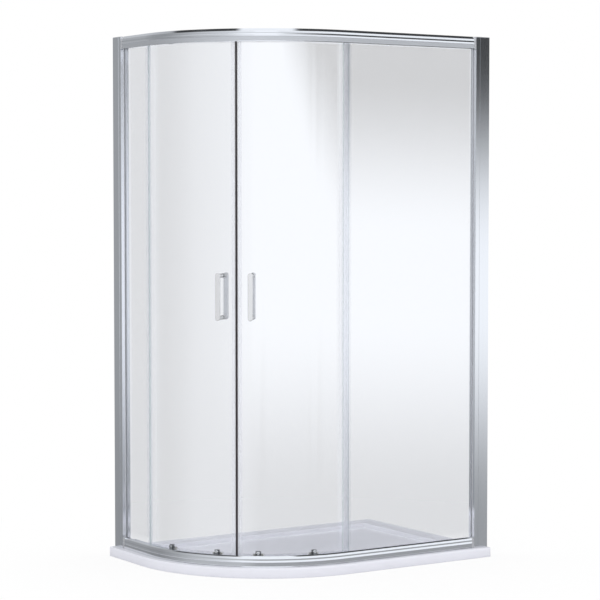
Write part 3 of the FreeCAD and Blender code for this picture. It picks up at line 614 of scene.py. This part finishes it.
RECIPES = {recipe.__name__: recipe for recipe in (
    acrylic, rail_aluminium, post_aluminium, handle_chrome, waste_chrome, waste_steel, screw_steel, screw_chrome,
    hanger_steel, connector_plastic, cap_plastic, roller_plastic, wheel_nylon, buffer_rubber, gasket_grey,
    magnet_black, seal_clear, clear_glass, floor_white)}


def dress(names, recipe, edge=0.0):
    """Gives the solids' own meshes a finish and, where edge is given, softly broken edges. Flat faces are
    joined first, because a bevel on their triangles leaves shading lines."""
    for name in names:
        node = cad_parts[name]
        for slot in node.material_slots:
            slot.material = finish(recipe)
        if edge:
            weld = node.modifiers.new("Weld", "WELD")
            weld.merge_threshold = 0.00002
            flat = node.modifiers.new("Whole faces", "DECIMATE")
            flat.decimate_type = "DISSOLVE"
            flat.angle_limit = math.radians(0.5)
            bevel = node.modifiers.new("Broken edges", "BEVEL")
            bevel.width = edge
            bevel.segments = 2
            bevel.limit_method = "ANGLE"
            bevel.angle_limit = math.radians(40)
            bevel.harden_normals = True
            bevel.use_clamp_overlap = True


def nodes_like(*starts):
    return [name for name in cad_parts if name.startswith(starts)]


# ---- pieces ---------------------------------------------------------------------------------
class ShowerOperator:
    """What the operators share."""
    bl_options = {"REGISTER", "UNDO"}


class SHOWER_OT_tray(ShowerOperator, Operator):
    """Models the tray with its rounded rim, sloped basin and dished waste"""
    bl_idname = "shower.tray"
    bl_label = "Tray"

    def execute(self, context):
        size = sizes()
        top, low = TRAY_HIGH.z, TRAY_LOW.z
        floor = top - size.basin_depth
        flange_low, flange_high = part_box("waste_flange")
        seat_radius = (flange_high.x - flange_low.x) / 2 + 0.3 * MM
        seat_top = flange_high.z
        seat = seat_top - 3 * MM
        r = size.edge_round
        rim, slope = size.rim_width, size.rim_slope
        stations = [(1.0 * MM, low), (0.0, low + 1.0 * MM), (0.0, top - r)]
        bends = [math.radians(18 * n) for n in range(1, 6)]
        stations += [(r - r * math.cos(a), top - r + r * math.sin(a)) for a in bends]
        stations += [(rim * 0.5, top)]
        ease = rounded([(rim - 8 * MM, top), (rim, top), (rim + slope, floor), (rim + slope + 8 * MM, floor)],
                       5 * MM, 5)
        stations += [point for point in ease if rim - 7.9 * MM < point[0] < rim + slope + 7.9 * MM]
        rings = [tray_ring(inset, height) for inset, height in stations]
        centre = waste_axis()
        last = rings[-1]
        turns = [math.atan2(p.y - centre.y, p.x - centre.x) for p in last]

        def circle(radius, height):
            return [Vector((centre.x + radius * math.cos(turn), centre.y + radius * math.sin(turn), height))
                    for turn in turns]

        rim_circle = circle(size.waste_dish + 6 * MM, floor)
        for part in (0.25, 0.5, 0.75):
            rings.append([a.lerp(b, part) for a, b in zip(last, rim_circle)])
        rings.append(rim_circle)
        dish = [(size.waste_dish + 3 * MM, floor - 0.05 * MM), (size.waste_dish - 2 * MM, floor - 0.35 * MM),
                (seat_radius + 12 * MM, seat_top + 1.0 * MM), (seat_radius + 3 * MM, seat_top + 0.15 * MM),
                (seat_radius + 0.6 * MM, seat_top - 0.05 * MM), (seat_radius, seat_top - 0.6 * MM),
                (seat_radius, seat), (DRAIN_RADIUS + 0.5 * MM, seat), (DRAIN_RADIUS, seat - 0.5 * MM),
                (DRAIN_RADIUS, low + 1 * MM), (DRAIN_RADIUS + 1 * MM, low)]
        rings += [circle(radius, height) for radius, height in dish]
        piece("tray", weave(rings, loop=True), "enclosure", finish("acrylic"), ("shower_tray",), sharp=50.0)
        return {"FINISHED"}


class SHOWER_OT_waste(ShowerOperator, Operator):
    """Models the domed waste cover with its skirt and feet, and brushes the flange"""
    bl_idname = "shower.waste"
    bl_label = "Waste"

    def execute(self, context):
        low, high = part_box("waste_cover")
        radius = (high.x - low.x) / 2
        upright = Matrix.Translation(waste_axis()) @ Matrix.Rotation(math.radians(-90), 4, "Y")
        under = high.z - 2.5 * MM
        crown = [(high.z - 0.9 * MM * (r / radius) ** 2, r) for r in (n * radius / 10 for n in range(10))]
        rolled = rounded([(high.z - 0.9 * MM, radius * 0.95, 0), (high.z - 1.0 * MM, radius), (under, radius),
                          (under, radius - 3 * MM, 0)], 1.0 * MM, 5)
        profile = crown + rolled + [(under + 0.3 * MM, radius - 5 * MM), (under + 0.3 * MM, 0.0)]
        bm = lathe(profile, upright, 96)
        skirt = SKIRT_RADIUS
        for quarter in range(4):
            middle = math.radians(90 * quarter)
            rings = []
            for step in range(13):
                turn = middle + math.radians(-25.0 + 50.0 * step / 12)
                outline = [(skirt, under + 0.2 * MM), (skirt, low.z + 0.5 * MM), (skirt - 0.5 * MM, low.z),
                           (skirt - 1.5 * MM, low.z), (skirt - 2 * MM, low.z + 0.5 * MM),
                           (skirt - 2 * MM, under + 0.2 * MM)]
                rings.append([Vector((r * math.cos(turn), r * math.sin(turn), z)) + waste_axis() for r, z in outline])
            weave(rings, cap_first=True, cap_last=True, bm=bm)
            foot = Matrix.Translation(waste_axis()) @ Matrix.Rotation(middle, 4, "Z")
            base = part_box("waste_flange")[1].z + 0.02 * MM
            shape = rounded([(skirt - 1 * MM, -4 * MM), (skirt + 5 * MM, -4 * MM), (skirt + 5 * MM, 4 * MM),
                             (skirt - 1 * MM, 4 * MM)], 1.2 * MM, 3)
            weave([[foot @ Vector((x, y, z)) for x, y in shape] for z in (base, under + 0.2 * MM)],
                  cap_first=True, cap_last=True, bm=bm)
        piece("waste_dome", bm, "enclosure", finish("waste_chrome"), ("waste_cover",))
        dress(["waste_flange"], "waste_steel")
        return {"FINISHED"}


class SHOWER_OT_frame(ShowerOperator, Operator):
    """Finishes the rails, posts, wall channels, connectors and caps"""
    bl_idname = "shower.frame"
    bl_label = "Frame"

    def execute(self, context):
        dress(["top_rail", "bottom_rail"], "rail_aluminium")
        dress(nodes_like("wall_profile", "side_profile"), "post_aluminium", sizes().profile_edge)
        dress(["rail_connectors"], "connector_plastic", 0.4 * MM)
        dress(["profile_caps"], "cap_plastic", 0.4 * MM)
        return {"FINISHED"}


class SHOWER_OT_glazing(ShowerOperator, Operator):
    """Finishes the fixed panels and the curved doors' glass"""
    bl_idname = "shower.glazing"
    bl_label = "Glazing"

    def execute(self, context):
        dress(nodes_like("fixed_glass", "door_glass"), "clear_glass")
        return {"FINISHED"}


class SHOWER_OT_seals(ShowerOperator, Operator):
    """Finishes the gaskets, edge seals, magnetic strips and buffers"""
    bl_idname = "shower.seals"
    bl_label = "Seals"

    def execute(self, context):
        dress(["glazing_gaskets"], "gasket_grey")
        dress(nodes_like("panel_edge_seals", "magnet_profile", "trailing_seal", "wipe_seal"), "seal_clear")
        dress(nodes_like("magnet_strip"), "magnet_black")
        dress(["door_stops"], "buffer_rubber")
        return {"FINISHED"}


class SHOWER_OT_handles(ShowerOperator, Operator):
    """Models the four handle bars with rounded ends on collared posts"""
    bl_idname = "shower.handles"
    bl_label = "Handles"

    def execute(self, context):
        face = frame_radius()
        for side in SIDES:
            for which, glass, sign in (("outer", face - GLASS_OUTSIDE, 1.0), ("inner", face - GLASS_INSIDE, -1.0)):
                self.handle(side, which, glass, sign)
        dress(nodes_like("handle_studs"), "screw_steel")
        return {"FINISHED"}

    def handle(self, side, which, glass, sign):
        size = sizes()
        place = station(side, HANDLE_AWAY, size.handle_middle)
        standoff = HANDLE_STANDOFF
        back, front = glass + sign * standoff, glass + sign * (standoff + size.handle_thickness)
        half, reach = size.handle_width / 2, size.handle_height / 2
        soft = 2 * MM
        bends = [math.radians(18 * n) for n in range(6)]
        steps = [(soft - soft * math.sin(a), soft - soft * math.cos(a)) for a in bends]
        rows = [(back, 5 * MM)] + [(back + sign * out, inset) for inset, out in steps]
        rows += [(front - sign * out, inset) for inset, out in reversed(steps)]
        rows += [(front, 4 * MM)]
        rings = [self.stadium(place, x, half - inset, reach - inset) for x, inset in rows]
        bm = weave(rings, cap_first=True, cap_last=True)
        radius = size.post_radius
        washers_and_shade = bmesh.new()
        for offset in (-size.handle_posts / 2, size.handle_posts / 2):
            post = place @ Matrix.Translation((glass, 0, offset))
            outline = [(0.9 * MM, STUD_RADIUS, 0), (0.9 * MM, radius, 0.3 * MM), (2.2 * MM, radius, 0.3 * MM),
                       (2.2 * MM, radius - 0.7 * MM, 0.2 * MM), (3.0 * MM, radius - 0.7 * MM, 0.2 * MM),
                       (3.0 * MM, radius - 0.2 * MM, 0.4 * MM), (standoff - 3 * MM, radius - 0.2 * MM, 2 * MM),
                       (standoff + 0.6 * MM, radius, 0), (standoff + 0.6 * MM, STUD_RADIUS, 0)]
            lathe([(sign * x, r) for x, r in rounded(outline, 0.3 * MM, 4)], post, 40, bm)
            # Thin dark rubber washers between each post and the glass. Their black is partly a real washer and partly
            # painted shade at the post's foot.
            washer_and_shade_outline = [(0.05 * MM, STUD_RADIUS), (0.05 * MM, radius - 0.1 * MM), (0.88 * MM, radius - 0.1 * MM),
                      (0.88 * MM, STUD_RADIUS)]
            lathe([(sign * x, r) for x, r in rounded(washer_and_shade_outline, 0.2 * MM, 3)], post, 32, washers_and_shade)
        name = f"handle_{which}_{side}"
        piece(f"{name}_washers", washers_and_shade, f"door_{side}", finish("buffer_rubber"))
        piece(f"{name}_bar", bm, f"door_{side}", finish("handle_chrome"), (name,))

    def stadium(self, place, x, half, reach):
        """An upright ring with half-round ends, at x along the place's own X axis."""
        points = []
        for step in range(32):
            turn = 2 * math.pi * (step + 0.5) / 32
            shift = (reach - half) * (1 if math.sin(turn) > 0 else -1)
            points.append(place @ Vector((x, half * math.cos(turn), half * math.sin(turn) + shift)))
        return points


class SHOWER_OT_wheels(ShowerOperator, Operator):
    """Models the nylon wheels with crowned treads and ribbed faces"""
    bl_idname = "shower.wheels"
    bl_label = "Wheels"

    def execute(self, context):
        for name in nodes_like("top_wheel", "bottom_wheel"):
            parts = name.split("_")
            side, away = parts[2], PLACES[parts[3]]
            low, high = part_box(name)
            centre = (low + high) / 2
            place = Matrix.Translation(centre) @ Matrix.Rotation(station_angle(side, away), 4, "Z")
            pin = 2.5 * MM if name.startswith("top") else 2.0 * MM
            bm = lathe(lambda turn: self.outline(turn, pin), place, 60)
            piece(f"{name}_tyre", bm, name, finish("wheel_nylon"), (name,), sharp=50.0)
        return {"FINISHED"}

    def outline(self, turn, pin):
        """The wheel's section at that turn: ribs cross the recess in each face every 60 degrees."""
        radius, half = sizes().wheel_radius, sizes().wheel_width / 2
        rib = max(0.0, 1.0 - abs((turn + 30) % 60 - 30) / 9.0)
        dip = 0.75 * MM * (1 - rib * 0.8)
        bore, hub, race = pin + 0.06 * MM, pin + 1.4 * MM, radius - 2.3 * MM
        face = [(bore, 0.15 * MM), (bore + 0.2 * MM, 0.0), (hub, 0.0), (hub + 0.3 * MM, dip),
                (race - 0.3 * MM, dip), (race, 0.0), (radius - 0.9 * MM, 0.0), (radius - 0.25 * MM, 0.25 * MM),
                (radius - 0.03 * MM, 0.8 * MM)]
        back = [(half - out, r) for r, out in reversed(face)]
        return [(-half + out, r) for r, out in face] + [(0.0, radius)] + back


class SHOWER_OT_rollers(ShowerOperator, Operator):
    """Finishes the hangers, mounts and carriers, and models the screws and springs"""
    bl_idname = "shower.rollers"
    bl_label = "Roller hardware"

    def execute(self, context):
        dress(nodes_like("top_hangers"), "hanger_steel", 0.3 * MM)
        dress(nodes_like("bottom_mounts", "bottom_carrier"), "roller_plastic", 0.3 * MM)
        dress(["frame_screws"], "screw_steel")
        for side in SIDES:
            self.screws(side)
            for place in PLACES:
                self.spring(side, place)
        return {"FINISHED"}

    def screws(self, side):
        low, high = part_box(f"roller_screws_{side}")
        radius = SCREW_HEAD_RADIUS
        face = frame_radius()
        start, seat, end = face - SCREW_TIP, face - SCREW_SEAT, face - SCREW_TOP
        bm = bmesh.new()
        for away in PLACES.values():
            for height in (low.z + radius, high.z - radius):
                lathe(lambda turn: self.screw(turn, start, seat, end, radius), station(side, away, height), 48, bm)
        name = f"roller_screws_{side}"
        piece(f"{name}_socket", bm, f"door_{side}", finish("screw_chrome"), (name,))

    def screw(self, turn, start, seat, end, radius):
        """The screw's section at that turn: a flat head with a six-sided socket, on its shank."""
        flat = 2.5 * MM / math.cos(math.radians((turn + 30) % 60 - 30))
        shank = 3.0 * MM
        head = rounded([(seat, radius, 0.2 * MM), (end - 0.1 * MM, radius, 1.0 * MM),
                        (end, flat + 0.5 * MM, 0.2 * MM)], 0.2 * MM, 4)
        socket = [(end - 0.3 * MM, flat), (end - 1.5 * MM, flat), (end - 1.8 * MM, 0.0)]
        return [(start, 0.0), (start, shank - 0.3 * MM), (start + 0.3 * MM, shank), (seat, shank)] + head + socket

    def spring(self, side, place):
        """A coil with flat end turns."""
        node = f"bottom_spring_{side}_{place}"
        low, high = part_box(node)
        centre = (low + high) / 2
        size = sizes()
        wire = size.spring_wire / 2
        coil = SPRING_COIL_RADIUS - wire
        turns = size.spring_turns
        count = 20 * turns
        rings = []
        for step in range(count + 1):
            turn = 2 * math.pi * turns * step / count
            part = step / count
            climb = min(max((part * turns - 1.0) / (turns - 2.0), 0.0), 1.0)
            flat = min(part * turns, 1.0) + min(max(part * turns - (turns - 1.0), 0.0), 1.0)
            height = low.z + wire + (high.z - low.z - 2 * wire - 4 * wire) * climb + 2 * wire * flat
            out = Vector((math.cos(turn), math.sin(turn), 0.0))
            middle = Vector((centre.x, centre.y, height)) + out * coil
            rings.append([middle + out * wire * math.cos(a) + Vector((0, 0, wire * math.sin(a)))
                          for a in (math.radians(45 * n) for n in range(8))])
        bm = weave(rings, cap_first=True, cap_last=True)
        made = piece(f"{node}_coil", bm, f"door_{side}", finish("screw_steel"), (node,))
        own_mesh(made)


# ---- stage ----------------------------------------------------------------------------------
# What metal and glass mirror, by turn about the studio in degrees: the walls' brightness, the height at which they
# end in degrees, their brightness below the horizon, and how much of the front box is there.
WALLS = ((0, 0.92), (14, 1.05), (93, 1.05), (104, 0.95), (116, 0.73), (133, 0.65), (148, 0.57), (164, 0.42),
         (183, 0.31), (200, 0.33), (225, 0.55), (262, 0.75), (300, 0.6), (330, 0.8))
WALL_TOPS = ((0, 0.5), (14, 1.2), (29, 2.1), (41, 3.0), (54, 4.2), (67, 5.5), (80, 9.0), (150, 9.0), (166, 48.0),
             (235, 48.0), (262, 9.0))
SKIRTING = ((0, 0.33), (90, 0.36), (116, 0.70), (150, 0.86), (225, 0.86), (262, 0.5), (300, 0.34))
FRONT_BOX = ((0, 1.0), (104, 1.0), (123, 0.72), (149, 0.5), (175, 0.15), (200, 0.0), (344, 0.0), (356, 1.0))
STUDIO_START = -40.0
TOP_LIMIT = 50.0
WORLD_LIGHT = 0.92
MIRROR_TINT = (0.92, 0.955, 1.0, 1.0)

# Each lamp's name, place, power in watts and width in metres
LAMPS = (("key_softbox", (-4.2, -4.6, 3.6), 20.0, 2.4),
         ("fill_softbox", (4.4, -3.6, 2.6), 10.0, 2.4),
         ("top_softbox", (-0.1, 0.05, 4.2), 46.0, 1.2))
LAMP_TARGET = Vector((0, 0, 0.9))


def around(paint, turn, table, limit=1.0):
    """A ramp once round the studio. A ramp's values end at 1, so limit scales the table's down and back up."""
    values = paint.ramp(turn, [(degrees / 360.0, value / limit) for degrees, value in table])
    return values if limit == 1.0 else values * limit


class SHOWER_OT_stage(ShowerOperator, Operator):
    """Sets the floor, the soft studio light and the camera"""
    bl_idname = "shower.stage"
    bl_label = "Stage"

    def execute(self, context):
        self.floor(context)
        self.sky(context)
        self.lamps(context)
        self.camera(context)
        scene = context.scene
        scene.view_settings.view_transform = "Standard"
        scene.cycles.transparent_max_bounces = 40
        scene.cycles.glossy_bounces = 8
        return {"FINISHED"}

    def floor(self, context):
        mesh = bpy.data.meshes.new("studio_floor")
        bm = bmesh.new()
        bmesh.ops.create_grid(bm, x_segments=24, y_segments=24, size=9.0)
        bmesh.ops.translate(bm, verts=bm.verts, vec=(0, 0, CAD_BOX[0][2] - 0.2 * MM))
        bm.to_mesh(mesh)
        bm.free()
        mesh.materials.append(finish("floor_white"))
        floor = bpy.data.objects.new("studio_floor", mesh)
        context.scene.collection.objects.link(floor)

    def sky(self, context):
        """White behind the object; what the metal and the glass mirror is a studio of soft boxes."""
        world = bpy.data.worlds.new("studio")
        world.use_nodes = True
        context.scene.world = world
        paint = Paint(world.node_tree)
        x, y, z = paint.split(paint.add("ShaderNodeTexCoord", {}, {}, "Generated"))
        studio = self.studio(paint, x, y, z)
        camera, through, mirrored = paint.rays()
        seen = paint.greatest(camera, through)
        strength = paint.greatest(seen, (1 - mirrored) * WORLD_LIGHT)
        strength = strength + mirrored * (1 - seen) * studio
        tint = paint.blend(mirrored * (1 - seen), WHITE, MIRROR_TINT)
        background = paint.add("ShaderNodeBackground", {}, {"Color": tint, "Strength": strength})
        paint.add("ShaderNodeOutputWorld", {}, {"Surface": background})

    def studio(self, paint, x, y, z):
        """Brightness of the studio in a direction."""
        azimuth = paint.add("ShaderNodeMath", {"operation": "ARCTAN2"}, {0: y, 1: x}) / math.radians(360)
        turn = paint.add("ShaderNodeMath", {"operation": "FRACT"}, {0: STUDIO_START / 360.0 - azimuth + 2.0})
        height = paint.add("ShaderNodeMath", {"operation": "ARCSINE"}, {0: z}) / math.radians(1)

        skirting = around(paint, turn, SKIRTING)
        low = skirting + (1 - skirting) * paint.step(height, -9.0, -3.5)
        high = paint.step(height - around(paint, turn, WALL_TOPS, TOP_LIMIT), -2.5, 2.5, 1.0, 0.0)
        walls = around(paint, turn, WALLS) * low * high

        front = around(paint, turn, FRONT_BOX)
        box = paint.step(height, 12.0, 18.0) * paint.step(height, 58.0, 68.0, 1.0, 0.0) * front
        gloom = 0.05 + paint.step(height, 8.0, 14.0) * paint.step(height, 36.0, 46.0, 1.0, 0.0) * 0.09

        # A lit strip overhead runs towards the front. Its edges are measured on a ceiling one unit up.
        turned = math.radians(VIEW_TURN)
        up = paint.greatest(z, 0.05)
        along = (x * math.sin(turned) - y * math.cos(turned)) / up
        sideways = abs(x * math.cos(turned) + y * math.sin(turned)) / up
        strip = paint.step(sideways, 0.19, 0.25, 1.0, 0.0) * paint.step(height, 35.0, 40.0)
        strip = strip * (paint.step(along, -1.45, -1.15) * 0.6 + paint.step(along, -0.60, -0.40) * 0.4)
        return paint.greatest(paint.greatest(walls, gloom + box * 0.84), strip)

    def lamps(self, context):
        for name, place, power, width in LAMPS:
            light = bpy.data.lights.new(name, "AREA")
            light.shape = "SQUARE"
            light.size = width
            light.energy = power
            lamp = bpy.data.objects.new(name, light)
            lamp.location = place
            lamp.rotation_euler = (LAMP_TARGET - Vector(place)).to_track_quat("-Z", "Y").to_euler()
            lamp.visible_glossy = False
            lamp.visible_camera = False
            lamp.visible_transmission = False
            context.scene.collection.objects.link(lamp)

    def camera(self, context):
        turn = math.radians(VIEW_TURN)
        data = bpy.data.cameras.new("camera")
        data.lens = FOCAL_PIXELS * SENSOR / FRAME_PIXELS
        data.sensor_width = SENSOR
        data.clip_end = 60.0
        camera = bpy.data.objects.new("camera", data)
        camera.location = (VIEW_DISTANCE * math.sin(turn), -VIEW_DISTANCE * math.cos(turn), VIEW_HEIGHT)
        camera.rotation_euler = (math.radians(90 - VIEW_PITCH), 0.0, turn)
        context.scene.collection.objects.link(camera)
        context.scene.camera = camera


PIECES = (SHOWER_OT_tray, SHOWER_OT_waste, SHOWER_OT_frame, SHOWER_OT_glazing, SHOWER_OT_seals, SHOWER_OT_handles,
          SHOWER_OT_wheels, SHOWER_OT_rollers, SHOWER_OT_stage)


class SHOWER_PT_panel(Panel):
    """Lists the enclosure's pieces, sizes and colours"""
    bl_idname = "SHOWER_PT_panel"
    bl_label = "Shower enclosure"
    bl_space_type = "VIEW_3D"
    bl_region_type = "UI"
    bl_category = "Shower"

    def draw(self, context):
        layout = self.layout
        for operator in PIECES:
            layout.operator(operator.bl_idname)
        for group in (context.scene.shower_sizes, context.scene.shower_colours):
            box = layout.box()
            for name in group.__annotations__:
                box.prop(group, name)


CLASSES = (ShowerSizes, ShowerColours) + PIECES + (SHOWER_PT_panel,)


def register():
    for cls in CLASSES:
        bpy.utils.register_class(cls)
    bpy.types.Scene.shower_sizes = PointerProperty(type=ShowerSizes)
    bpy.types.Scene.shower_colours = PointerProperty(type=ShowerColours)


def unregister():
    del bpy.types.Scene.shower_colours
    del bpy.types.Scene.shower_sizes
    for cls in reversed(CLASSES):
        bpy.utils.unregister_class(cls)


def main():
    register()
    bpy.ops.shower.stage()
    bpy.ops.shower.tray()
    bpy.ops.shower.waste()
    bpy.ops.shower.frame()
    bpy.ops.shower.glazing()
    bpy.ops.shower.seals()
    bpy.ops.shower.handles()
    bpy.ops.shower.wheels()
    bpy.ops.shower.rollers()


if __name__ == "__main__":
    main()
